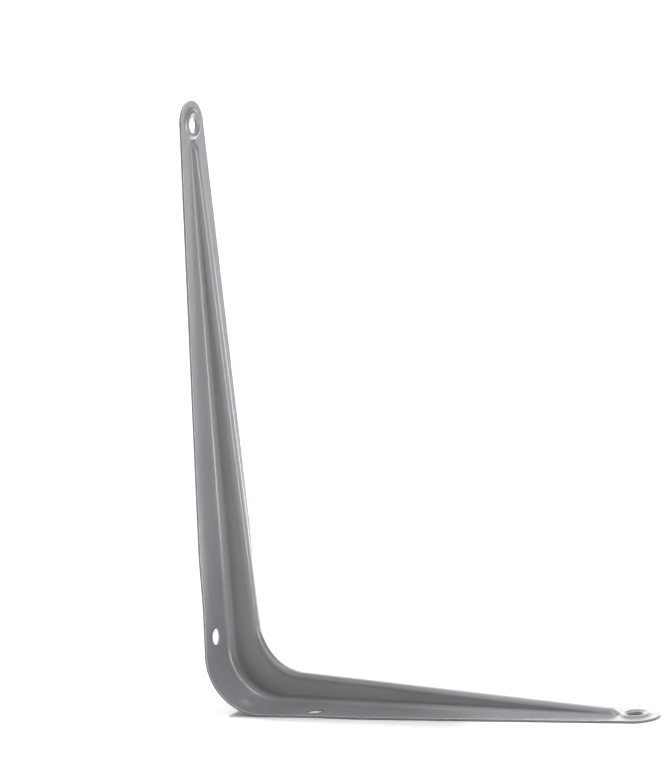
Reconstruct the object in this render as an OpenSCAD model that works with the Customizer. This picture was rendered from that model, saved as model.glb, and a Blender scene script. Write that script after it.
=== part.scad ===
// Pressed sheet-steel shelf bracket. One tapered strap is folded to a right angle
// and stiffened by a hollow rib, which deepens into a gusset inside the fold.
// The wall arm stands up along +Z and the shelf arm runs out along +X.
// The origin is the heel: where the wall face, the shelf face and the middle plane meet.

/* [Arms] */
// Height of the wall arm, from the shelf face to its tip
wall_arm = 200; // [160:5:300]
// Length of the shelf arm, from the wall face to its tip
shelf_arm = 150; // [130:5:260]
// Width of the strap where the two tapers would meet at the heel
heel_width = 45.4; // [42:0.2:56]
// Width of the rounded tips
tip_width = 15.7; // [15.2:0.1:20]
// Outside radius of the fold
fold_radius = 19.5; // [15:0.5:22]
// How far each side is drawn in round the fold, where the rib is pressed deepest
draw_in = 1.4; // [0:0.1:2]
// Distance from the heel at which the sides start to draw in
draw_start = 56; // [50:1:64]
// Length over which they draw in
draw_length = 24; // [18:1:28]

/* [Sheet] */
// Thickness of the steel sheet
sheet = 0.8; // [0.6:0.1:1.2]

/* [Rib] */
// Height of the rib where the crests would meet at the heel
rib_heel_height = 11.5; // [8:0.5:13]
// Height of the rib carried on to the tips
rib_tip_height = 0.8; // [0.4:0.1:1.2]
// Half the width of the flat along the crest
crest_flat = 0.25; // [0.1:0.05:0.8]
// Outside radius along both edges of the crest
crest_radius = 2.2; // [1.8:0.1:2.8]
// Radius between the rib and the flanges where the rib is lowest
foot_tip_radius = 1.1; // [1:0.1:1.8]
// Radius between the rib and the flanges where the rib is highest
foot_heel_radius = 2.9; // [2:0.1:3.2]
// Slope of the rib's sides, from the flange
side_slope = 84; // [74:1:85]
// Radius of the gusset's curved inner edge
gusset_radius = 16; // [14:1:24]
// Gap between the edge of a tip hole and the nose of the rib
nose_gap = 1.2; // [0.8:0.1:2]
// Length over which the nose of the rib rises
nose_length = 4.5; // [3:0.5:8]

/* [Screw holes] */
// Diameter of all the screw holes
hole_diameter = 5.3; // [4:0.1:6]
// Distance of the tip holes from the tips
tip_inset = 8.1; // [7.9:0.1:9]
// Height of the ring that is pressed up round a tip hole
ring_height = 0.8; // [0.4:0.1:0.9]
// Depth of the hole's edge below the crest of the ring
ring_dip = 0.5; // [0.1:0.1:0.6]
// Distance from the hole's edge to the crest of the ring
ring_inner = 1.4; // [1.1:0.1:1.6]
// Distance from the crest of the ring to its foot
ring_outer = 2.1; // [1.8:0.1:2.4]
// How many times narrower the ring is where it meets the rib
ring_squash = 1.6; // [1.2:0.1:1.8]
// Height of the lower pair of holes in the wall arm
wall_pair = 24.4; // [23:0.2:40]
// Distance of the inner pair of holes in the shelf arm from the wall face
shelf_pair = 34.6; // [26:0.2:45]
// Distance between the two holes of each pair
pair_spacing = 23.2; // [22:0.2:26]
// Diameter of the shallow coined cones in front of the paired holes
sink_diameter = 10; // [8:0.2:10.4]
// Depth of those cones
sink_depth = 0.4; // [0.2:0.1:0.5]

/* [Hidden] */

// Facets: steps round each fillet, across a flange, round a tip, along an arm and round the gusset
fillet_steps = 4;
flange_steps = 4;
tip_steps = 14;
nose_steps = 12;
arm_steps = 12;
gusset_steps = 22;
hole_facets = 64;
// How far past a surface a cutter runs
cut_past = 5;
sink_past = 0.02;
// Step for measuring a slope of the surface
nudge = 0.001;

tip_r = tip_width / 2;
sink_mouth = mix(hole_diameter, sink_diameter, 1 + sink_past / sink_depth);
ring_reach = hole_diameter / 2 + ring_inner + ring_outer;
half_columns = 2 * fillet_steps + flange_steps + 1;
columns = 2 * half_columns + 1;

// Slope of the crests towards the tips
wall_fall = (rib_heel_height - rib_tip_height) / wall_arm;
shelf_fall = (rib_heel_height - rib_tip_height) / shelf_arm;
// Centre of the gusset's inner edge, a radius away from both crest lines
wall_reach = sheet + rib_heel_height + gusset_radius * sqrt(1 + wall_fall * wall_fall);
shelf_reach = sheet + rib_heel_height + gusset_radius * sqrt(1 + shelf_fall * shelf_fall);
gusset_x = (wall_reach - wall_fall * shelf_reach) / (1 - wall_fall * shelf_fall);
gusset_z = shelf_reach - shelf_fall * gusset_x;

// The path runs down the wall arm, round the gusset and out along the shelf arm
gusset_run = 60;
path_gusset = wall_arm - gusset_z;
path_shelf = path_gusset + gusset_run;
path_end = path_shelf + shelf_arm - gusset_x;

function smooth(x) = let (k = min(max(x, 0), 1)) k * k * (3 - 2 * k);
function mix(a, b, k) = a + (b - a) * k;
function unit(v) = v / norm(v);

// Half the strap's width at a distance along an arm of the given length
function taper(arm) =
    atan2(heel_width / 2, arm - tip_r) - asin(tip_r / norm([arm - tip_r, heel_width / 2]));
function arm_half_width(along, arm) =
    let (slope = taper(arm), beyond = along - (arm - tip_r))
    beyond > tip_r * sin(slope)
        ? sqrt(max(tip_r * tip_r - beyond * beyond, 0))
        : tip_r / cos(slope) - beyond * tan(slope) - draw_in * smooth((draw_start - along) / draw_length);

// Half the strap's width round the fold, for a turn of 0 to 90 degrees from the wall arm
function fold_half_width(turn) =
    let (
        k = turn / 90,
        half_length = fold_radius * PI / 4,
        start = arm_half_width(fold_radius, wall_arm),
        end = arm_half_width(fold_radius, shelf_arm),
        middle = (start + end + half_length * (tan(taper(wall_arm)) + tan(taper(shelf_arm)))) / 2
    )
    mix(mix(start, middle, k), mix(middle, end, k), k);

// Section across the rib: flat crest, round edge, straight side and round foot.
// A low rib has no straight side, and its two rounds turn less.
function foot_radius(height) = mix(foot_tip_radius, foot_heel_radius, smooth(height / rib_heel_height));
function rounds(height) = foot_radius(height) + crest_radius;
function side_angle(height) =
    height >= rounds(height) * (1 - cos(side_slope)) ? side_slope : acos(1 - height / rounds(height));
function side_run(height) =
    let (straight = height - rounds(height) * (1 - cos(side_slope)))
    rounds(height) * sin(side_angle(height)) + max(straight, 0) / tan(side_slope);
function rib_section(height, y) =
    let (
        foot = foot_radius(height),
        angle = side_angle(height),
        out = abs(y) - crest_flat,
        in = crest_flat + side_run(height) - abs(y)
    )
    out <= 0 ? height :
    in <= 0 ? 0 :
    out <= crest_radius * sin(angle) ? height - crest_radius + sqrt(crest_radius ^ 2 - out ^ 2) :
    in <= foot * sin(angle) ? foot - sqrt(foot ^ 2 - in ^ 2) :
    height - crest_radius * (1 - cos(angle)) - (out - crest_radius * sin(angle)) * tan(angle);

// Height of the rib's crest above an arm. Near the gusset its curved edge takes over.
function crest_height(along, arm, fall, centre_out, centre_along) =
    along > centre_along + gusset_radius * sin(atan(fall))
        ? rib_heel_height - fall * along
        : centre_out - sheet - sqrt(gusset_radius ^ 2 - (along - centre_along) ^ 2);
function nose(along, arm) =
    smooth((arm - tip_inset - hole_diameter / 2 - nose_gap - along) / nose_length);

// The ring round a tip hole rises from the hole's edge to its crest and falls to its foot
function from_hole(path) = min(path, path_end - path) - tip_inset;
function ring(path, y) =
    let (
        along = from_hole(path),
        off = norm([along, y]),
        squash = 1 + (ring_squash - 1) * (max(along, 0) / max(off, nudge)) ^ 2,
        out = (off - hole_diameter / 2) * squash
    )
    out < ring_inner
        ? ring_height - ring_dip * (1 - smooth(out / ring_inner))
        : ring_height * (1 - smooth((out - ring_inner) / ring_outer));

// Each point on the path gives [base x, base z, direction of the rib, its height, half width]
function wall_place(z) =
    let (height = crest_height(z, wall_arm, wall_fall, gusset_x, gusset_z))
    [sheet, z, 1, 0, height * nose(z, wall_arm), arm_half_width(z, wall_arm)];
function shelf_place(x) =
    let (height = crest_height(x, shelf_arm, shelf_fall, gusset_z, gusset_x))
    [x, sheet, 0, 1, height * nose(x, shelf_arm), arm_half_width(x, shelf_arm)];
function gusset_place(turn) =
    let (
        ray = [cos(turn), sin(turn)],
        centre = [gusset_x, gusset_z],
        from_fold = centre - [fold_radius, fold_radius],
        along_ray = from_fold * ray,
        inside = fold_radius - sheet,
        to_wall = (gusset_x - sheet) / max(ray[0], nudge),
        to_shelf = (gusset_z - sheet) / max(ray[1], nudge),
        to_fold = along_ray + sqrt(max(along_ray ^ 2 - from_fold * from_fold + inside ^ 2, 0)),
        on_wall = gusset_z - to_wall * ray[1] >= fold_radius,
        on_shelf = gusset_x - to_shelf * ray[0] >= fold_radius,
        depth = on_wall ? to_wall : on_shelf ? to_shelf : to_fold,
        base = centre - depth * ray,
        half_width =
            on_wall ? arm_half_width(base[1], wall_arm) :
            on_shelf ? arm_half_width(base[0], shelf_arm) :
            fold_half_width(atan2(fold_radius - base[1], fold_radius - base[0]))
    )
    [base[0], base[1], ray[0], ray[1], depth - gusset_radius, half_width];
function place(path) =
    path <= path_gusset ? wall_place(wall_arm - path) :
    path >= path_shelf ? shelf_place(gusset_x + path - path_shelf) :
    gusset_place(90 * (path - path_gusset) / gusset_run);

// The front surface of the sheet, and its back surface one sheet's thickness behind
function rise(path, y, height) =
    let (rib = rib_section(height, y), boss = ring(path, y))
    boss == 0 ? rib : (rib ^ 4 + boss ^ 4) ^ 0.25;
function front(path, y) =
    let (at = place(path), up = rise(path, y, at[4]))
    [at[0] + at[2] * up, y, at[1] + at[3] * up];
// Over the rings the press thins the slopes, so there the thickness is taken straight through
function back(path, y) =
    let (
        at = place(path),
        along = front(path + nudge, y) - front(path - nudge, y),
        across = front(path, y + nudge) - front(path, y - nudge),
        straight = 1 - smooth(norm([from_hole(path), y]) / ring_reach - 1)
    )
    front(path, y) - sheet * unit(mix(unit(cross(along, across)), [at[2], 0, at[3]], straight));

// Columns across half the strap, from the middle to the edge: they follow the rib's
// rounds along the arms and spread evenly over the tips
function rib_columns(height, half_width) =
    let (angle = side_angle(height), foot = crest_flat + side_run(height))
    concat(
        [0],
        [for (k = [0 : fillet_steps]) crest_flat + crest_radius * sin(angle * k / fillet_steps)],
        [for (k = [fillet_steps : -1 : 0]) foot - foot_radius(height) * sin(angle * k / fillet_steps)],
        [for (k = [1 : flange_steps - 1]) mix(foot, half_width, k / (flange_steps - 1))]
    );
function half_across(path) =
    let (
        at = place(path),
        from_tip = min(path, path_end - path),
        ribbed = rib_columns(at[4], at[5]),
        spread = smooth((from_tip - tip_width) / tip_width)
    )
    [for (k = [0 : half_columns]) mix(at[5] * k / half_columns, ribbed[k], spread)];
function across(path) =
    let (half = half_across(path))
    concat([for (k = [half_columns : -1 : 1]) -half[k]], half);

// Stations along the path
tip_end = 90 - 90 / tip_steps / 2;
function tip_stations() =
    [for (k = [0 : tip_steps]) tip_r * (1 - sin(mix(tip_end, 0, k / tip_steps)))];
function nose_stations() =
    [for (k = [1 : nose_steps]) tip_r + k * (tip_width + nose_length - tip_r) / nose_steps];
function arm_stations(arm_path) =
    let (start = tip_width + nose_length)
    [for (k = [1 : arm_steps]) mix(start, arm_path, (k / arm_steps) ^ 1.1)];
function end_stations(arm_path) = concat(tip_stations(), nose_stations(), arm_stations(arm_path));
wall_stations = end_stations(path_gusset);
shelf_stations = end_stations(path_end - path_shelf);
stations = concat(
    wall_stations,
    [for (k = [1 : gusset_steps - 1]) path_gusset + gusset_run * k / gusset_steps],
    [for (k = [len(shelf_stations) - 1 : -1 : 0]) path_end - shelf_stations[k]]
);

// The strap with its rib, rings and gusset, as one closed sheet
module pressing() {
    last = len(stations) - 1;
    back_start = len(stations) * columns;
    front_points = [for (path = stations) for (y = across(path)) front(path, y)];
    back_points = [for (path = stations) for (y = across(path)) back(path, y)];
    function at(row, column) = row * columns + column;
    function quad(a, b, c, d) = [[a, b, c], [a, c, d]];
    faces = [
        for (row = [0 : last - 1]) for (column = [0 : columns - 2])
            let (a = at(row, column), b = at(row, column + 1),
                 c = at(row + 1, column + 1), d = at(row + 1, column))
            each concat(quad(a, b, c, d),
                        quad(back_start + a, back_start + d, back_start + c, back_start + b)),
        for (row = [0 : last - 1]) for (column = [0, columns - 1])
            let (a = at(row, column), b = at(row + 1, column))
            each column == 0
                ? quad(a, b, back_start + b, back_start + a)
                : quad(a, back_start + a, back_start + b, b),
        for (row = [0, last]) for (column = [0 : columns - 2])
            let (a = at(row, column), b = at(row, column + 1))
            each row == 0
                ? quad(a, back_start + a, back_start + b, b)
                : quad(a, b, back_start + b, back_start + a)
    ];
    polyhedron(points = concat(front_points, back_points), faces = faces);
}

// A screw hole through the sheet, along +X, and the coined cone in front of it
module screw_hole(sunk) {
    rotate([0, 90, 0])
        translate([0, 0, -cut_past])
            cylinder(d = hole_diameter, h = 2 * cut_past + sheet, $fn = hole_facets);
    if (sunk)
        translate([sheet - sink_depth, 0, 0])
            rotate([0, 90, 0])
                cylinder(d1 = hole_diameter, d2 = sink_mouth, h = sink_depth + sink_past, $fn = hole_facets);
}

// All the holes of one arm, laid out on the wall arm
module arm_holes(arm, pair) {
    translate([0, 0, arm - tip_inset]) screw_hole(false);
    for (side = [-1, 1])
        translate([0, side * pair_spacing / 2, pair]) screw_hole(true);
}

// Swaps the X and Z axes, so that what is laid out on the wall arm lies on the shelf arm
module on_shelf_arm() {
    rotate([0, 90, 0]) mirror([1, 0, 0]) children();
}

module bracket() {
    color("#8d8c90")
        difference() {
            pressing();
            arm_holes(wall_arm, wall_pair);
            on_shelf_arm() arm_holes(shelf_arm, shelf_pair);
        }
}

bracket();
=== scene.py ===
"""A pressed sheet-steel shelf bracket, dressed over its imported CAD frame."""

import math

import bpy
import numpy as np
from mathutils import Matrix, Vector
from mathutils.geometry import delaunay_2d_cdt


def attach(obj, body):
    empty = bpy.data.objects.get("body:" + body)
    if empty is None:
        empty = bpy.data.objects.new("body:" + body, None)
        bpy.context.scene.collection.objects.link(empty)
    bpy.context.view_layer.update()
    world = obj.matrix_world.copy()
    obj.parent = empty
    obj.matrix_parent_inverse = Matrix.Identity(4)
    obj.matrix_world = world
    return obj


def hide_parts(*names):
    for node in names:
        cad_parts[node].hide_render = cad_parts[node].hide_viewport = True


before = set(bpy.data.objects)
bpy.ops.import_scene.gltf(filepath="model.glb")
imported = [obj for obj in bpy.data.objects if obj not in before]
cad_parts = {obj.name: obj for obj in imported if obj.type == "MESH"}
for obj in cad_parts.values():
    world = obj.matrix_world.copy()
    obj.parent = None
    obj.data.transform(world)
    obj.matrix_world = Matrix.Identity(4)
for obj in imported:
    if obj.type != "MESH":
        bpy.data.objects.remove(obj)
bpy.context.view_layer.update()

# ------------------------------------------------------------------ sizes, in millimetres
# X runs out along the shelf arm, Z up the wall arm, Y across the strap.

# the strap: its outline, its fold and the draw-in of its edges near the fold
WALL_ARM = 200.0
SHELF_ARM = 150.0
HEEL_WIDTH = 45.4
TIP_WIDTH = 15.7
FOLD_RADIUS = 19.5
SHEET = 0.8
DRAW_IN = 1.4
DRAW_START = 56.0
DRAW_LENGTH = 24.0

# the rib: its height, its section, the gusset in the corner and its ends at the tip holes
RIB_HEEL = 11.5
RIB_TIP = 0.8
CREST_FLAT = 0.25
CREST = 2.2
FOOT_RADII = (1.1, 2.9)
SIDE_SLOPE = math.radians(84)
GUSSET_RADIUS = 16.0
NOSE_GAP = 1.2
NOSE_LENGTH = 4.5

# the holes, and the rings that are pressed up round those at the tips, narrower to the fold
HOLE = 5.3
TIP_INSET = 8.1
RING_HEIGHT = 0.8
RING_DIP = 0.5
RING_INNER = 1.4
RING_OUTER = 2.1
RING_SQUASH = 1.6
WALL_PAIR = 24.4
SHELF_PAIR = 34.6
PAIR_SPACING = 23.2

# the hollow round a hole of a pair: reach along and across, flat share of it, depth
DISH = (4.6, 5.1)
DISH_FLOOR = 0.62
DISH_DEPTH = 0.12

# the rounding of the cut edges, which ends SLACK inside the CAD's outline
RIM = 0.18
HOLE_RIM = 0.06
SLACK = 0.02
INSET = RIM + SLACK
HOLE_START = HOLE / 2 + HOLE_RIM

# A place on the sheet is (path, y). The path runs from the wall tip to the shelf tip, in
# millimetres along the arms, and spends GUSSET_RUN on the fan of rays across the gusset.
TIP_R = TIP_WIDTH / 2
WALL_FALL = (RIB_HEEL - RIB_TIP) / WALL_ARM
SHELF_FALL = (RIB_HEEL - RIB_TIP) / SHELF_ARM
WALL_REACH = SHEET + RIB_HEEL + GUSSET_RADIUS * math.hypot(1, WALL_FALL)
SHELF_REACH = SHEET + RIB_HEEL + GUSSET_RADIUS * math.hypot(1, SHELF_FALL)
GUSSET_X = (WALL_REACH - WALL_FALL * SHELF_REACH) / (1 - WALL_FALL * SHELF_FALL)
GUSSET_Z = SHELF_REACH - SHELF_FALL * GUSSET_X
GUSSET_RUN = 60.0
PATH_GUSSET = WALL_ARM - GUSSET_Z
PATH_SHELF = PATH_GUSSET + GUSSET_RUN
PATH_END = PATH_SHELF + SHELF_ARM - GUSSET_X

# ------------------------------------------------------------------ the surface of the sheet


def smooth(x):
    k = np.clip(x, 0, 1)
    return k * k * (3 - 2 * k)


def taper(arm):
    """The angle between the straight edge of an arm and its middle line."""
    half, length = HEEL_WIDTH / 2, arm - TIP_R
    return math.atan2(half, length) - math.asin(TIP_R / math.hypot(length, half))


def arm_half_width(along, arm):
    """Half the strap's width at a distance from the heel."""
    slope = taper(arm)
    beyond = along - (arm - TIP_R)
    round_end = np.sqrt(np.maximum(TIP_R**2 - beyond**2, 0))
    drawn = DRAW_IN * smooth((DRAW_START - along) / DRAW_LENGTH)
    straight = TIP_R / math.cos(slope) - beyond * math.tan(slope) - drawn
    return np.where(beyond > TIP_R * math.sin(slope), round_end, straight)


def fold_half_width(turn):
    """Half the strap's width round the fold, blended between both arms."""
    k = turn / (math.pi / 2)
    half_length = FOLD_RADIUS * math.pi / 4
    start = arm_half_width(FOLD_RADIUS, WALL_ARM)
    end = arm_half_width(FOLD_RADIUS, SHELF_ARM)
    slopes = math.tan(taper(WALL_ARM)) + math.tan(taper(SHELF_ARM))
    middle = (start + end + half_length * slopes) / 2
    return (1 - k) ** 2 * start + 2 * k * (1 - k) * middle + k * k * end


def foot_radius(height):
    return FOOT_RADII[0] + (FOOT_RADII[1] - FOOT_RADII[0]) * smooth(height / RIB_HEEL)


def rib_side(height):
    """The steepest angle of the rib's side and its run, from crest flat to toe."""
    rounds = foot_radius(height) + CREST
    full = rounds * (1 - math.cos(SIDE_SLOPE))
    low = np.arccos(np.clip(1 - height / rounds, -1, 1))
    angle = np.where(height >= full, SIDE_SLOPE, low)
    run = rounds * np.sin(angle) + np.maximum(height - full, 0) / math.tan(SIDE_SLOPE)
    return angle, run


def rib_section(height, y):
    """Rise of the rib's section at y, for a rib of the given height."""
    foot = foot_radius(height)
    angle, run = rib_side(height)
    out = np.abs(y) - CREST_FLAT
    inn = CREST_FLAT + run - np.abs(y)
    side = height - CREST * (1 - np.cos(angle)) - (out - CREST * np.sin(angle)) * np.tan(angle)
    low = foot - np.sqrt(np.maximum(foot**2 - np.clip(inn, 0, foot) ** 2, 0))
    top = height - CREST + np.sqrt(np.maximum(CREST**2 - np.clip(out, 0, CREST) ** 2, 0))
    rise = np.where(inn <= foot * np.sin(angle), low, side)
    rise = np.where(out <= CREST * np.sin(angle), top, rise)
    return np.where(inn <= 0, 0, rise)


def crest_height(along, fall, centre_out, centre_along):
    """Height of the rib over an arm, straight first and then round the gusset."""
    curved = centre_out - SHEET - np.sqrt(
        np.maximum(GUSSET_RADIUS**2 - (along - centre_along) ** 2, 0))
    straight = RIB_HEEL - fall * along
    start = centre_along + GUSSET_RADIUS * math.sin(math.atan(fall))
    return np.where(along > start, straight, curved)


def nose(along, arm):
    """Fades the rib out short of the tip hole."""
    return smooth((arm - TIP_INSET - HOLE / 2 - NOSE_GAP - along) / NOSE_LENGTH)


def from_hole(path):
    """Distance along the strap from the nearer tip hole, positive towards the fold."""
    return np.minimum(path, PATH_END - path) - TIP_INSET


def ring_rise(path, y):
    """Height of the ring that is pressed up round a tip hole."""
    along = from_hole(path)
    off = np.hypot(along, y)
    foldward = np.maximum(along, 0) / np.maximum(off, 1e-3)
    squash = 1 + (RING_SQUASH - 1) * foldward**2
    out = (off - HOLE / 2) * squash
    inner = RING_HEIGHT - RING_DIP * (1 - smooth(out / RING_INNER))
    outer = RING_HEIGHT * (1 - smooth((out - RING_INNER) / RING_OUTER))
    return np.where(out < RING_INNER, inner, outer)


def dish(along, centre, y):
    """Depth of the coined hollow round a hole of a pair."""
    off = np.hypot((along - centre) / DISH[0], (np.abs(y) - PAIR_SPACING / 2) / DISH[1])
    return DISH_DEPTH * (1 - smooth((off - DISH_FLOOR) / (1 - DISH_FLOOR)))


def place(path):
    """Base point (x, z), direction of the rib (x, z), its height, the strap's half width."""
    path = np.asarray(path, float)
    on_wall, on_shelf = path <= PATH_GUSSET, path >= PATH_SHELF
    z, x = WALL_ARM - path, GUSSET_X + path - PATH_SHELF
    turn = np.clip((path - PATH_GUSSET) / GUSSET_RUN, 0, 1) * math.pi / 2
    ray_x, ray_z = np.cos(turn), np.sin(turn)
    from_x, from_z = GUSSET_X - FOLD_RADIUS, GUSSET_Z - FOLD_RADIUS
    along_ray = from_x * ray_x + from_z * ray_z
    to_wall = (GUSSET_X - SHEET) / np.maximum(ray_x, 1e-6)
    to_shelf = (GUSSET_Z - SHEET) / np.maximum(ray_z, 1e-6)
    inside = FOLD_RADIUS - SHEET
    to_fold = along_ray + np.sqrt(np.maximum(
        along_ray**2 - from_x**2 - from_z**2 + inside**2, 0))
    meets_wall = GUSSET_Z - to_wall * ray_z >= FOLD_RADIUS
    meets_shelf = GUSSET_X - to_shelf * ray_x >= FOLD_RADIUS
    depth = np.where(meets_wall, to_wall, np.where(meets_shelf, to_shelf, to_fold))
    fan_x, fan_z = GUSSET_X - depth * ray_x, GUSSET_Z - depth * ray_z
    fold_turn = np.arctan2(FOLD_RADIUS - fan_z, FOLD_RADIUS - fan_x)
    fan_half = np.where(
        meets_wall, arm_half_width(fan_z, WALL_ARM),
        np.where(meets_shelf, arm_half_width(fan_x, SHELF_ARM), fold_half_width(fold_turn)))
    wall_rib = crest_height(z, WALL_FALL, GUSSET_X, GUSSET_Z) * nose(z, WALL_ARM)
    shelf_rib = crest_height(x, SHELF_FALL, GUSSET_Z, GUSSET_X) * nose(x, SHELF_ARM)

    def pick(wall, fan, shelf):
        return np.where(on_wall, wall, np.where(on_shelf, shelf, fan))

    return (pick(SHEET, fan_x, x), pick(z, fan_z, SHEET), pick(1.0, ray_x, 0.0),
            pick(0.0, ray_z, 1.0), pick(wall_rib, depth - GUSSET_RADIUS, shelf_rib),
            pick(arm_half_width(z, WALL_ARM), fan_half, arm_half_width(x, SHELF_ARM)))


def front(path, y):
    """The face that shows, with the rib and the rings, without the hollows."""
    base_x, base_z, ray_x, ray_z, height, _ = place(path)
    rib, boss = rib_section(height, y), ring_rise(path, y)
    up = np.where(boss == 0, rib, (rib**4 + boss**4) ** 0.25)
    return np.stack([base_x + ray_x * up, y, base_z + ray_z * up], -1)


def normal(surface, path, y, step=1e-3):
    along = surface(path + step, y) - surface(path - step, y)
    across = surface(path, y + step) - surface(path, y - step)
    n = np.cross(along, across)
    return n / np.linalg.norm(n, axis=-1, keepdims=True)


def inward(path, y):
    """The direction of the sheet's thickness: straight through it over the rings."""
    ray_x, ray_z = place(path)[2:4]
    n = normal(front, path, y)
    reach = HOLE / 2 + RING_INNER + RING_OUTER
    k = (1 - smooth(np.hypot(from_hole(path), y) / reach - 1))[..., None]
    mixed = n * (1 - k) + np.stack([ray_x, ray_x * 0, ray_z], -1) * k
    return mixed / np.linalg.norm(mixed, axis=-1, keepdims=True)


def back(path, y):
    """The hidden face, an even thickness behind the front."""
    return front(path, y) - SHEET * inward(path, y)


def dished(path, y):
    """The front surface with the coined hollows."""
    base_x, base_z = place(path)[:2]
    flat = SHEET + 1e-9
    depth = np.where(base_x <= flat, dish(base_z, WALL_PAIR, y),
                     np.where(base_z <= flat, dish(base_x, SHELF_PAIR, y), 0))
    return front(path, y) - depth[..., None] * normal(front, path, y)


def path_on_wall(z):
    """The path value at a height on the wall arm."""
    turn = np.arctan2(GUSSET_Z - z, GUSSET_X - SHEET)
    return np.where(z >= GUSSET_Z, WALL_ARM - z,
                    PATH_GUSSET + GUSSET_RUN * turn / (math.pi / 2))


def path_on_shelf(x):
    """The path value at a distance along the shelf arm."""
    turn = np.arctan2(GUSSET_Z - SHEET, GUSSET_X - x)
    return np.where(x >= GUSSET_X, PATH_SHELF + x - GUSSET_X,
                    PATH_GUSSET + GUSSET_RUN * turn / (math.pi / 2))


# ------------------------------------------------------------------ the mesh

# The sheet is a grid of rows across the strap, apart from four blocks round the pair holes
# and a tip of TIP_BLOCK at each end, which are triangulated.
CREST_COLUMNS = 8
SIDE_COLUMNS = 5
FOOT_COLUMNS = 9
FLANGE_COLUMNS = 10
TOE_COLUMN = 2 + CREST_COLUMNS + SIDE_COLUMNS + FOOT_COLUMNS
WALL_ROWS, FAN_ROWS, SHELF_ROWS = 64, 97, 46

PAIR_BLOCK = 5.6
PAIR_RINGS, PAIR_RING_POINTS = 13, 72
PAIR_RING_MARGIN = 0.2
PAIR_GAP = 0.18

TIP_BLOCK = 24.0
RIM_STEPS = 72
RIM_SPACING = 0.7
TIP_RINGS, TIP_RING_POINTS = 17, 96
TIP_RING_SPACING = 0.245
TIP_RING_GAP = 0.15
LOOSE_ALONG = 0.35
LOOSE_ACROSS = 0.25
LOOSE_WIDEN = 0.004
LOOSE_COUNT = 56
LOOSE_BEFORE_HOLE = 3.0
LOOSE_SHORT = 0.25
LOOSE_GAP = 0.2

ARC_STEPS = 4
NEAR_HOLE = 0.5


def half_columns(path):
    """Columns from the middle of the strap to its rim, following the rib's rounds."""
    height, half = [float(v) for v in place(path)[4:]]
    foot = float(foot_radius(height))
    angle, run = [float(v) for v in rib_side(height)]
    end = half - INSET
    toe = CREST_FLAT + run
    crest_end = CREST_FLAT + CREST * math.sin(angle)
    foot_start = toe - foot * math.sin(angle)
    columns = [0.0, CREST_FLAT / 2]
    columns += [CREST_FLAT + CREST * math.sin(angle * k / CREST_COLUMNS)
                for k in range(CREST_COLUMNS)]
    columns += [crest_end + (foot_start - crest_end) * k / SIDE_COLUMNS
                for k in range(SIDE_COLUMNS)]
    columns += [toe - foot * math.sin(angle * (1 - k / FOOT_COLUMNS))
                for k in range(FOOT_COLUMNS)]
    columns += [toe + (end - toe) * k / FLANGE_COLUMNS for k in range(FLANGE_COLUMNS + 1)]
    return columns


def row_columns(path):
    half = half_columns(path)
    return [-y for y in reversed(half[1:])] + half


def tip_outline(arm):
    """The tip's rim from one side to the other, (distance from the tip, y), inset by INSET."""
    slope = taper(arm)
    radius = TIP_R - INSET
    points = []
    for k in range(RIM_STEPS + 1):
        turn = -(math.pi / 2 + slope) + k * (math.pi + 2 * slope) / RIM_STEPS
        points.append((TIP_R - radius * math.cos(turn), radius * math.sin(turn)))
    first_along, first_y = points[0]
    along = TIP_BLOCK - first_along
    count = max(int(along / RIM_SPACING), 1)
    end_y = float(arm_half_width(arm - TIP_BLOCK, arm)) - INSET
    left = [(first_along + along * k / count, -(-first_y + (end_y + first_y) * k / count))
            for k in range(count - 1, 0, -1)]
    right = [(x, -y) for x, y in reversed(left)]
    return left + points + right


class Sheet:
    """Vertices as (path, y) pairs and the faces of the front surface."""

    def __init__(self):
        self.points = []
        self.faces = []
        self.known = {}

    def add(self, path, y):
        """The vertex at a place. Where the rib has no straight side, its columns meet in one."""
        key = (round(float(path), 6), round(float(y), 6))
        if key not in self.known:
            self.known[key] = len(self.points)
            self.points.append((float(path), float(y)))
        return self.known[key]

    def add_face(self, corners):
        corners = list(dict.fromkeys(corners))
        if len(corners) > 2:
            self.faces.append(corners)

    def fill(self, loop, hole, inner):
        """Triangulates the area inside a loop of vertices and outside a hole's points."""
        ids = list(dict.fromkeys(loop))
        edges = [(k, (k + 1) % len(ids)) for k in range(len(ids))]
        start = len(ids)
        edges += [(start + k, start + (k + 1) % len(hole)) for k in range(len(hole))]
        ids += [self.add(*point) for point in hole + inner]
        flat = [Vector(self.points[i]) for i in ids]
        found = delaunay_2d_cdt(flat, edges, [], 1, 1e-7)
        faces, origins = found[2], found[3]
        opening = np.array(hole)
        for face in faces:
            corners = [ids[origins[v][0]] for v in face]
            if in_loop(np.mean([self.points[v] for v in corners], axis=0), opening):
                continue
            a, b, c = [np.array(self.points[v]) for v in corners]
            turn = (b[0] - a[0]) * (c[1] - a[1]) - (b[1] - a[1]) * (c[0] - a[0])
            self.add_face(corners if turn > 0 else corners[::-1])

    def drop_unused(self):
        """Drops the vertices that no face uses, inside the blocks that were cut out."""
        used = sorted({v for face in self.faces for v in face})
        number = {v: k for k, v in enumerate(used)}
        self.points = [self.points[v] for v in used]
        self.faces = [[number[v] for v in face] for face in self.faces]


def ring(centre, radii, count, number, to_place):
    """Points round a centre (along, y); every second ring is turned by half a step."""
    points = []
    for k in range(count):
        turn = 2 * math.pi * (k + 0.5 * (number % 2)) / count
        points.append(to_place(centre[0] + radii[0] * math.cos(turn),
                               centre[1] + radii[1] * math.sin(turn)))
    return points


def cleared(points, polygon, gap):
    return [point for point in points if clear_of(point, polygon, gap)]


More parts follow.
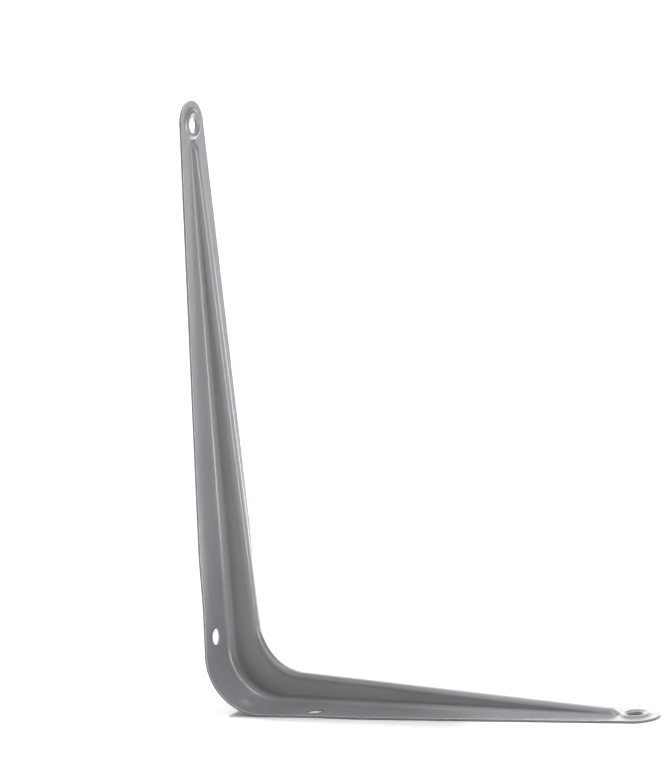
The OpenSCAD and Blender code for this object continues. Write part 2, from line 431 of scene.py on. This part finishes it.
def fill_pair_block(sheet, loop, along, y, to_path):
    """Fills a block of the grid round one hole of a pair, at a distance along its arm."""

    def to_place(along, y):
        return float(to_path(along)), y

    polygon = np.array([sheet.points[v] for v in loop])
    hole, inner = [], []
    for k in range(PAIR_RINGS):
        grow = k / (PAIR_RINGS - 1)
        radii = [HOLE_START + grow * (reach + PAIR_RING_MARGIN - HOLE / 2 - HOLE_RIM)
                 for reach in DISH]
        points = ring((along, y), radii, PAIR_RING_POINTS, k, to_place)
        if k:
            inner += cleared(points, polygon, PAIR_GAP)
        else:
            hole = points
    sheet.fill(loop, hole, inner)


def fill_tip(sheet, arm, edge_row, to_place):
    """Fills the tip of an arm beyond the grid's last row, with its hole."""
    rim = [sheet.add(*to_place(*point)) for point in tip_outline(arm)]
    loop = rim + list(reversed(edge_row))
    polygon = np.array([sheet.points[v] for v in loop])
    hole, inner = [], []
    for k in range(TIP_RINGS):
        reach = HOLE_START + TIP_RING_SPACING * k
        points = ring((TIP_INSET, 0), (reach, reach), TIP_RING_POINTS, k, to_place)
        if k:
            inner += cleared(points, polygon, TIP_RING_GAP)
        else:
            hole = points
    ringed = HOLE_START + TIP_RING_SPACING * TIP_RINGS
    for along in np.arange(TIP_INSET - LOOSE_BEFORE_HOLE, TIP_BLOCK - LOOSE_SHORT, LOOSE_ALONG):
        for k in range(-LOOSE_COUNT, LOOSE_COUNT + 1):
            y = k * LOOSE_ACROSS * (1 + LOOSE_WIDEN * abs(k))
            if math.hypot(along - TIP_INSET, y) >= ringed:
                inner += cleared([to_place(along, y)], polygon, LOOSE_GAP)
    sheet.fill(loop, hole, inner)


def build_sheet():
    """The front surface as a flat sheet of (path, y) places."""
    sheet = Sheet()
    rows = list(np.linspace(TIP_BLOCK, PATH_GUSSET, WALL_ROWS))
    rows += list(np.linspace(PATH_GUSSET, PATH_SHELF, FAN_ROWS)[1:])
    rows += list(np.linspace(PATH_SHELF, PATH_END - TIP_BLOCK, SHELF_ROWS)[1:])
    grid = [[sheet.add(path, y) for y in row_columns(path)] for path in rows]
    width = len(grid[0])
    middle = width // 2

    blocked = set()
    for to_path, along in ((path_on_wall, WALL_PAIR), (path_on_shelf, SHELF_PAIR)):
        ends = sorted(float(to_path(along + step)) for step in (-PAIR_BLOCK, PAIR_BLOCK))
        first = max(k for k, path in enumerate(rows) if path <= ends[0])
        last = min(k for k, path in enumerate(rows) if path >= ends[1])
        for side in (-1, 1):
            low, high = sorted((middle + side * TOE_COLUMN, middle + side * middle))
            blocked |= {(r, c) for r in range(first, last) for c in range(low, high)}
            loop = [grid[first][c] for c in range(low, high)]
            loop += [grid[r][high] for r in range(first, last)]
            loop += [grid[last][c] for c in range(high, low, -1)]
            loop += [grid[r][low] for r in range(last, first, -1)]
            fill_pair_block(sheet, loop, along, side * PAIR_SPACING / 2, to_path)

    for row in range(len(rows) - 1):
        for column in range(width - 1):
            if (row, column) in blocked:
                continue
            a, b = grid[row][column], grid[row][column + 1]
            c, d = grid[row + 1][column + 1], grid[row + 1][column]
            sheet.add_face([a, d, c, b])

    fill_tip(sheet, WALL_ARM, grid[0], lambda along, y: (along, y))
    fill_tip(sheet, SHELF_ARM, grid[-1], lambda along, y: (PATH_END - along, y))
    sheet.drop_unused()
    return sheet


def in_loop(point, polygon):
    """Whether a point lies inside a polygon."""
    x, y = point
    x0, y0 = polygon[:, 0], polygon[:, 1]
    x1, y1 = np.roll(x0, -1), np.roll(y0, -1)
    crosses = (y0 > y) != (y1 > y)
    with np.errstate(divide="ignore", invalid="ignore"):
        at = (x1 - x0) * (y - y0) / (y1 - y0) + x0
    return bool(np.count_nonzero(crosses & (x < at)) % 2)


def clear_of(point, polygon, gap):
    """Whether a point lies inside a polygon and at least gap from its edges."""
    if not in_loop(point, polygon):
        return False
    a, b = polygon, np.roll(polygon, -1, axis=0)
    p = np.array(point)
    edge = b - a
    k = np.clip(((p - a) * edge).sum(1) / np.maximum((edge**2).sum(1), 1e-12), 0, 1)
    off = p - (a + edge * k[:, None])
    return float(np.sqrt((off**2).sum(1)).min()) >= gap


def rim_neighbours(faces):
    """For each vertex on an open edge of the faces, the next vertex along it."""
    seen = dict.fromkeys(
        edge for face in faces for edge in zip(face, face[1:] + face[:1]))
    return {a: b for a, b in seen if (b, a) not in seen}


def near_hole(points):
    """Whether each point of a rim belongs to a hole and not to the strap's outline."""
    x, y, z = points.T
    aside = np.abs(y) - PAIR_SPACING / 2
    distances = (np.hypot(y, z - WALL_ARM + TIP_INSET), np.hypot(y, x - SHELF_ARM + TIP_INSET),
                 np.hypot(aside, z - WALL_PAIR), np.hypot(aside, x - SHELF_PAIR))
    return np.minimum.reduce(distances) < HOLE / 2 + NEAR_HOLE


def unit(vectors):
    return vectors / np.linalg.norm(vectors, axis=1, keepdims=True)


def build_bracket():
    """Both faces of the sheet, joined round every cut edge by a rounded rim."""
    sheet = build_sheet()
    path, y = np.array(sheet.points).T
    through = inward(path, y)
    base = front(path, y)
    top, under = dished(path, y), base - SHEET * through
    count = len(base)
    faces = [list(face) for face in sheet.faces]
    following = rim_neighbours(faces)
    faces += [[v + count for v in reversed(face)] for face in sheet.faces]

    before = {b: a for a, b in following.items()}
    at = np.array(list(following))
    tangent = unit(base[[following[v] for v in at]] - base[[before[v] for v in at]])
    across = through[at]
    out = unit(np.cross(tangent, across))
    radius = np.where(near_hole(base[at]), HOLE_RIM, RIM)[:, None]

    # rows of the rim: down from the front face, then round to the back face; those of the front
    #     # get the lighter edge colour, which is thin worn paint and also a painted highlight
    positions, normals = [top, under], [normal(dished, path, y), -normal(back, path, y)]
    wear_and_highlight = [np.zeros(2 * count)]
    ids = [at]
    for face, side, steps in ((top, 1, range(1, ARC_STEPS + 1)),
                              (under, -1, range(ARC_STEPS, 0, -1))):
        for k in steps:
            turn = math.pi / 2 * k / ARC_STEPS
            lift = side * across
            positions.append(face[at] + radius * (math.sin(turn) * out
                                                  + (math.cos(turn) - 1) * lift))
            normals.append(math.sin(turn) * out + math.cos(turn) * lift)
            wear_and_highlight.append(np.full(len(at), float(side > 0 and k < ARC_STEPS)))
            ids.append(2 * count + (len(ids) - 1) * len(at) + np.arange(len(at)))
    ids.append(at + count)
    index = {int(v): k for k, v in enumerate(at)}
    for v, w in following.items():
        a, b = index[v], index[w]
        for upper, lower in zip(ids, ids[1:]):
            faces.append([int(upper[b]), int(upper[a]), int(lower[a]), int(lower[b])])

    mesh = bpy.data.meshes.new("bracket_sheet")
    mesh.from_pydata((np.concatenate(positions) * 0.001).tolist(), [], faces)
    mesh.validate()
    mesh.shade_smooth()
    # the mask of the lighter edge colour, which is worn paint and a painted highlight
    attribute = mesh.attributes.new("cut_edge", "FLOAT", "POINT")
    attribute.data.foreach_set("value", np.concatenate(wear_and_highlight))
    mesh.normals_split_custom_set_from_vertices(np.concatenate(normals).tolist())
    mesh.update()
    piece = bpy.data.objects.new("bracket_sheet", mesh)
    bpy.context.scene.collection.objects.link(piece)
    return piece


# ------------------------------------------------------------------ materials


def new_material(name):
    material = bpy.data.materials.new(name)
    material.use_nodes = True
    tree = material.node_tree
    tree.nodes.clear()
    return material, tree


def node(tree, kind, **values):
    made = tree.nodes.new(kind)
    for key, value in values.items():
        setattr(made, key, value)
    return made


def map_range(tree, source, spans, **values):
    """Maps (from low, from high) to (to low, to high)."""
    made = node(tree, "ShaderNodeMapRange", **values)
    for key, value in zip(("From Min", "From Max", "To Min", "To Max"), spans):
        made.inputs[key].default_value = value
    tree.links.new(source, made.inputs["Value"])
    return made.outputs["Result"]


PAINT_COLOURS = (0.188, 0.181, 0.194, 1), (0.212, 0.205, 0.218, 1)
# the lighter colour of the cut edges: thin worn paint, and also a painted highlight along the
# edges
EDGE_WEAR_AND_HIGHLIGHT_COLOUR = (0.56, 0.55, 0.56, 1)
PAINT_IOR = 1.6
PAINT_ROUGHNESS = 0.19, 0.25
NOISE_MIDDLE = 0.3, 0.7
EDGE_WEAR_AND_HIGHLIGHT_MIDDLE = 0.35, 0.65
EDGE_WEAR_AND_HIGHLIGHT_SHARE = 0.3, 0.8

# scale per metre and detail of each noise
CLOUD = 35.0, 3.0
EDGE_WEAR_AND_HIGHLIGHT_PATCHES = 420.0, 4.0
HAZE = 90.0, 4.0
PEEL = 650.0, 2.0
GRAIN = 2600.0, 2.0

# strength and height in metres of each bump
GRAIN_BUMP = 0.05, 0.00001
PEEL_BUMP = 0.12, 0.00003

FLOOR_COLOUR = (0.66, 0.66, 0.66, 1)
FLOOR_GLOW = 0.06


def grey_paint():
    material, tree = new_material("grey_paint")
    link = tree.links.new
    output = node(tree, "ShaderNodeOutputMaterial")
    shader = node(tree, "ShaderNodeBsdfPrincipled")
    shader.inputs["Metallic"].default_value = 0.0
    shader.inputs["IOR"].default_value = PAINT_IOR
    link(shader.outputs["BSDF"], output.inputs["Surface"])
    place_at = node(tree, "ShaderNodeTexCoord")

    def noise(scale, detail):
        made = node(tree, "ShaderNodeTexNoise")
        made.inputs["Scale"].default_value = scale
        made.inputs["Detail"].default_value = detail
        link(place_at.outputs["Object"], made.inputs["Vector"])
        return made.outputs["Fac"]

    def bump(height, strength, distance):
        made = node(tree, "ShaderNodeBump")
        made.inputs["Strength"].default_value = strength
        made.inputs["Distance"].default_value = distance
        link(height, made.inputs["Height"])
        return made

    # colour: a slightly uneven grey, lighter on the cut edges, partly thin worn paint and partly
    # a painted highlight along the edges
    base = node(tree, "ShaderNodeMix", data_type="RGBA")
    base.inputs["A"].default_value, base.inputs["B"].default_value = PAINT_COLOURS
    link(map_range(tree, noise(*CLOUD), (*NOISE_MIDDLE, 0.0, 1.0)), base.inputs["Factor"])
    edge = node(tree, "ShaderNodeAttribute", attribute_name="cut_edge")
    # where the painted edge highlight and the edge wear show
    worn_and_highlight = node(tree, "ShaderNodeMath", operation="MULTIPLY")
    link(edge.outputs["Fac"], worn_and_highlight.inputs[0])
    link(map_range(tree, noise(*EDGE_WEAR_AND_HIGHLIGHT_PATCHES), (*EDGE_WEAR_AND_HIGHLIGHT_MIDDLE, *EDGE_WEAR_AND_HIGHLIGHT_SHARE)), worn_and_highlight.inputs[1])
    coloured = node(tree, "ShaderNodeMix", data_type="RGBA")
    coloured.inputs["B"].default_value = EDGE_WEAR_AND_HIGHLIGHT_COLOUR
    link(worn_and_highlight.outputs["Value"], coloured.inputs["Factor"])
    link(base.outputs["Result"], coloured.inputs["A"])
    link(coloured.outputs["Result"], shader.inputs["Base Color"])

    # gloss: satin, with a faint unevenness
    link(map_range(tree, noise(*HAZE), (*NOISE_MIDDLE, *PAINT_ROUGHNESS)),
         shader.inputs["Roughness"])

    # bump: a fine grain and the faint orange peel of stoved paint
    grain = bump(noise(*GRAIN), *GRAIN_BUMP)
    peel = bump(noise(*PEEL), *PEEL_BUMP)
    link(grain.outputs["Normal"], peel.inputs["Normal"])
    link(peel.outputs["Normal"], shader.inputs["Normal"])
    return material


def floor_material():
    """A pale floor that keeps the shadow and is a little lighter to the camera."""
    material, tree = new_material("studio_floor")
    link = tree.links.new
    output = node(tree, "ShaderNodeOutputMaterial")
    diffuse = node(tree, "ShaderNodeBsdfDiffuse")
    diffuse.inputs["Color"].default_value = FLOOR_COLOUR
    shine = node(tree, "ShaderNodeEmission")
    shine.inputs["Color"].default_value = (1, 1, 1, 1)
    path = node(tree, "ShaderNodeLightPath")
    seen = node(tree, "ShaderNodeMath", operation="MAXIMUM")
    link(path.outputs["Is Camera Ray"], seen.inputs[0])
    link(path.outputs["Is Glossy Ray"], seen.inputs[1])
    scaled = node(tree, "ShaderNodeMath", operation="MULTIPLY")
    scaled.inputs[1].default_value = FLOOR_GLOW
    link(seen.outputs["Value"], scaled.inputs[0])
    link(scaled.outputs["Value"], shine.inputs["Strength"])
    both = node(tree, "ShaderNodeAddShader")
    link(diffuse.outputs["BSDF"], both.inputs[0])
    link(shine.outputs["Emission"], both.inputs[1])
    link(both.outputs["Shader"], output.inputs["Surface"])
    return material


# ------------------------------------------------------------------ the object

bracket = build_bracket()
bracket.data.materials.append(grey_paint())
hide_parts("bracket")
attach(bracket, "root")

# ------------------------------------------------------------------ floor, lights, camera

FLOOR_REACH = 3.0
FLOOR_DROP = 0.0001

# the studio's walls: how bright they are, and the patches (azimuth, elevation, angle of full
# strength, angle of its end, strength)
ROOM = 0.08
GLOWS = {
    "overhead": (-90, 76, 20, 62, 1.1),
    "backdrop": (112, 24, 14, 42, 2.5),
}

# a bright strip overhead, along the bracket's middle plane, from above the fold outwards
STRIP = 5.0
STRIP_SIDE = 0.16, 0.06
STRIP_AHEAD = 0.05, 0.3

# cards that lie on the floor: centre, size, radiance
CARD_LIFT = 0.002
CARDS = {
    "near_card": ((0.45, -0.01), (0.34, 0.14), 7.0),
    "far_card": ((0.96, -0.01), (0.68, 0.16), 8.0),
    "back_card": ((-0.02, 0.7), (0.36, 1.2), 2.2),
}
KEY_ENERGY = 2.6
KEY_ANGLE = 5
KEY_FROM = 169, 64

# the camera, fitted to the photo: millimetres, degrees, pixels
CAMERA_AT = (644.9721, -1230.6246, 341.9546)
YAW, PITCH, ROLL = [math.radians(v) for v in (26.026, 9.705, -4.3045)]
FOCAL_PX = 4301.6
PHOTO_HEIGHT_PX = 763
SENSOR = 36.0

scene = bpy.context.scene
floor_mesh = bpy.data.meshes.new("floor")
floor_mesh.from_pydata(
    [(x * FLOOR_REACH, y * FLOOR_REACH, 0) for x, y in ((-1, -1), (1, -1), (1, 1), (-1, 1))],
    [], [(0, 1, 2, 3)])
floor = bpy.data.objects.new("floor", floor_mesh)
floor.location.z = -FLOOR_DROP
scene.collection.objects.link(floor)
floor_mesh.materials.append(floor_material())


def direction(azimuth, elevation):
    """A unit vector; azimuth turns from +X towards +Y."""
    turn, lift = math.radians(azimuth), math.radians(elevation)
    return (math.cos(turn) * math.cos(lift), math.sin(turn) * math.cos(lift), math.sin(lift))


def build_world():
    world = bpy.data.worlds.new("studio")
    world.use_nodes = True
    tree = world.node_tree
    tree.nodes.clear()
    link = tree.links.new
    output = node(tree, "ShaderNodeOutputWorld")
    background = node(tree, "ShaderNodeBackground")
    link(background.outputs["Background"], output.inputs["Surface"])
    coords = node(tree, "ShaderNodeTexCoord").outputs["Generated"]

    apart = node(tree, "ShaderNodeSeparateXYZ")
    link(coords, apart.inputs[0])
    aside = node(tree, "ShaderNodeMath", operation="ABSOLUTE")
    link(apart.outputs["Y"], aside.inputs[0])
    lit = node(tree, "ShaderNodeMath", operation="MULTIPLY_ADD")
    link(map_range(tree, aside.outputs["Value"], (*STRIP_SIDE, 0.0, STRIP),
                   interpolation_type="SMOOTHSTEP"), lit.inputs[0])
    link(map_range(tree, apart.outputs["X"], (*STRIP_AHEAD, 0.0, 1.0),
                   interpolation_type="SMOOTHSTEP"), lit.inputs[1])
    lit.inputs[2].default_value = ROOM
    total = lit.outputs["Value"]
    for azimuth, elevation, inner, outer, strength in GLOWS.values():
        along = node(tree, "ShaderNodeVectorMath", operation="DOT_PRODUCT")
        along.inputs[1].default_value = direction(azimuth, elevation)
        link(coords, along.inputs[0])
        span = [math.cos(math.radians(angle)) for angle in (outer, inner)]
        added = node(tree, "ShaderNodeMath", operation="ADD")
        link(map_range(tree, along.outputs["Value"], (*span, 0.0, strength),
                       interpolation_type="SMOOTHSTEP"), added.inputs[0])
        link(total, added.inputs[1])
        total = added.outputs["Value"]

    # the camera sees plain white
    light_path = node(tree, "ShaderNodeLightPath")
    shown = node(tree, "ShaderNodeMix")
    link(light_path.outputs["Is Camera Ray"], shown.inputs["Factor"])
    link(total, shown.inputs["A"])
    shown.inputs["B"].default_value = 1.0
    link(shown.outputs["Result"], background.inputs["Strength"])
    background.inputs["Color"].default_value = (1, 1, 1, 1)
    return world


def add_light(name, kind, **values):
    data = bpy.data.lights.new(name, kind)
    for key, value in values.items():
        setattr(data, key, value)
    made = bpy.data.objects.new(name, data)
    scene.collection.objects.link(made)
    return made


def area_light(name, location, target, size, radiance):
    """A rectangular light that the camera doesn't see."""
    made = add_light(name, "AREA", shape="RECTANGLE", size=size[0], size_y=size[1],
                     energy=radiance * math.pi * size[0] * size[1])
    made.location = location
    aim = Vector(target) - Vector(location)
    made.rotation_euler = aim.to_track_quat("-Z", "Y").to_euler()
    made.visible_camera = False


scene.world = build_world()
for name, (centre, size, radiance) in CARDS.items():
    area_light(name, (*centre, CARD_LIFT), (*centre, 1.0), size, radiance)
area_light("standing_card", (1.3, -0.01, 0.18), (0, -0.01, 0.18), (0.14, 0.36), 10.0)
key = add_light("key", "SUN", energy=KEY_ENERGY, angle=math.radians(KEY_ANGLE))
key.visible_glossy = False
key.rotation_euler = (-Vector(direction(*KEY_FROM))).to_track_quat("-Z", "Y").to_euler()

forward = Vector((-math.sin(YAW) * math.cos(PITCH), math.cos(YAW) * math.cos(PITCH),
                  -math.sin(PITCH)))
level = Vector((math.cos(YAW), math.sin(YAW), 0))
upward = level.cross(forward)
right = math.cos(ROLL) * level + math.sin(ROLL) * upward
up = -math.sin(ROLL) * level + math.cos(ROLL) * upward
camera_data = bpy.data.cameras.new("camera")
camera_data.sensor_width = SENSOR
camera_data.lens = FOCAL_PX / PHOTO_HEIGHT_PX * SENSOR
camera_data.clip_start, camera_data.clip_end = 0.05, 20.0
camera = bpy.data.objects.new("camera", camera_data)
scene.collection.objects.link(camera)
turn = Matrix((right, up, -forward)).transposed().to_4x4()
camera.matrix_world = Matrix.Translation(Vector(CAMERA_AT) * 0.001) @ turn
scene.camera = camera
scene.view_settings.view_transform = "Standard"
